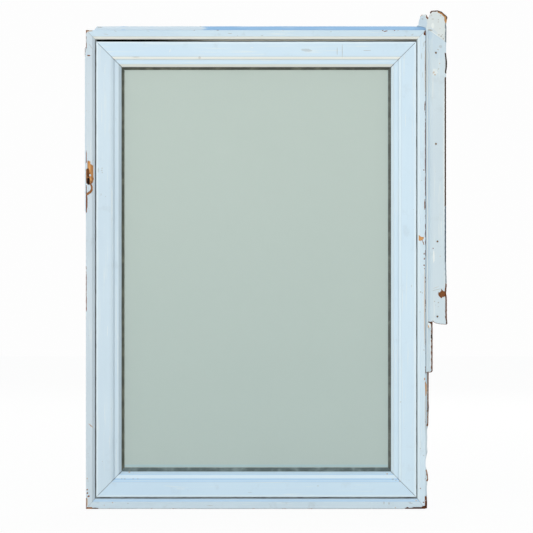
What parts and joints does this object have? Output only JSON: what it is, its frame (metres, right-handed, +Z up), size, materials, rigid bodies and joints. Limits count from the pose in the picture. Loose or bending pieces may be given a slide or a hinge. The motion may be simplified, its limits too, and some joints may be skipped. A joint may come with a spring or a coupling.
{
  "type": "wooden casement window",
  "caption": "Painted wooden casement window, shut: mitred sash with sealed double glass in a slim frame, torn side board at the right, crank and lever lock inside.",
  "frame": {"origin": "centre of the frame's underside, which is the sill's resting face", "axes": "+X to the right seen from outside, +Y from the weather side to the room side, +Z up"},
  "size_m": [0.726, 0.1202, 0.996],
  "materials": {
    "painted_wood": "pale blue oil paint, worn at the edges",
    "weathered_board": "pale blue paint, chipped to brown wood",
    "glass": "pale green, smooth",
    "spacer_metal": "dull",
    "glazing_rubber": "weathered, matt",
    "hardware": "stone white enamel"
  },
  "bodies": {
    "root": {"frame_head": "painted_wood", "frame_sill": "painted_wood", "frame_jamb_left": "painted_wood", "frame_jamb_right": "painted_wood", "sash_top_rail": "painted_wood", "sash_bottom_rail": "painted_wood", "sash_stile_left": "painted_wood", "sash_stile_right": "painted_wood", "glazing_bead_top": "painted_wood", "glazing_bead_bottom": "painted_wood", "glazing_bead_left": "painted_wood", "glazing_bead_right": "painted_wood", "stop_top": "painted_wood", "stop_bottom": "painted_wood", "stop_left": "painted_wood", "stop_right": "painted_wood", "liner_head": "painted_wood", "liner_sill": "painted_wood", "liner_left": "painted_wood", "liner_right": "painted_wood", "strip_head": "weathered_board", "strip_left": "weathered_board", "strip_right": "weathered_board", "cover_strip": "weathered_board", "side_board": "weathered_board", "corner_plate": "weathered_board", "glass_outer": "glass", "glass_inner": "glass", "glass_spacer": "spacer_metal", "glass_gasket": "glazing_rubber", "leaf_seal": "glazing_rubber", "operator_cover": "hardware", "crank_arm": "hardware", "crank_knob": "hardware", "lock_plate": "hardware", "lock_lever": "hardware"}
  },
  "joints": []
}
